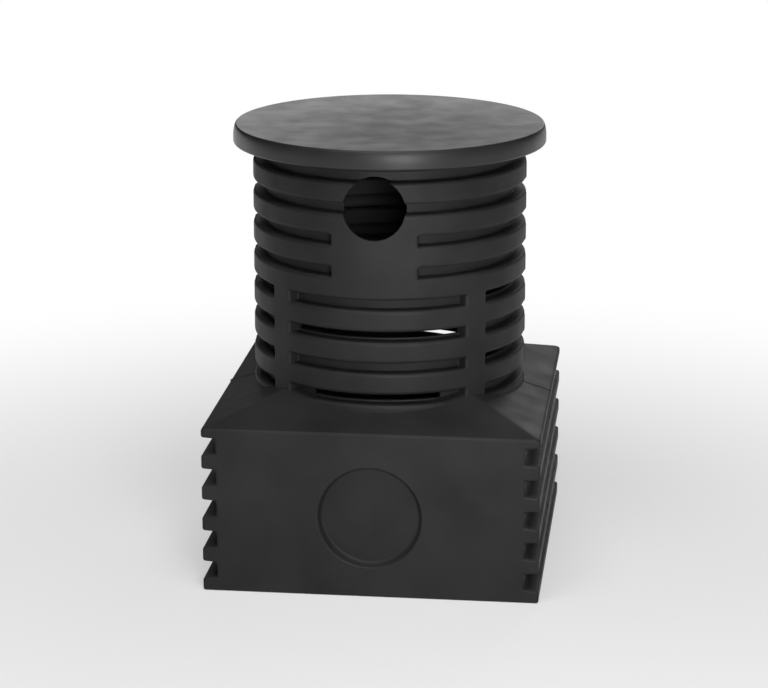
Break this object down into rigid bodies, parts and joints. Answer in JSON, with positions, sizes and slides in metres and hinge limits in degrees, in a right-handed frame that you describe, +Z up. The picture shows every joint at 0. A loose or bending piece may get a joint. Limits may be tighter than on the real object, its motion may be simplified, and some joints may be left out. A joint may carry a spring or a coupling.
{
  "type": "pump vault",
  "caption": "Round grooved riser on a ribbed square base, moulded in one, with inlet slots, a discharge hole and a loose lid; houses a submersible pump in gravel.",
  "frame": {"origin": "on the floor, under the middle of the square base", "axes": "+Z up, front face with the discharge hole and the round pad towards -Y, +X to the right seen from the front"},
  "size_m": [0.457, 0.476, 0.6092],
  "materials": {
    "black_polyethylene": "satin"
  },
  "bodies": {
    "root": {"vault_body": "black_polyethylene", "lid": "black_polyethylene"}
  },
  "joints": []
}
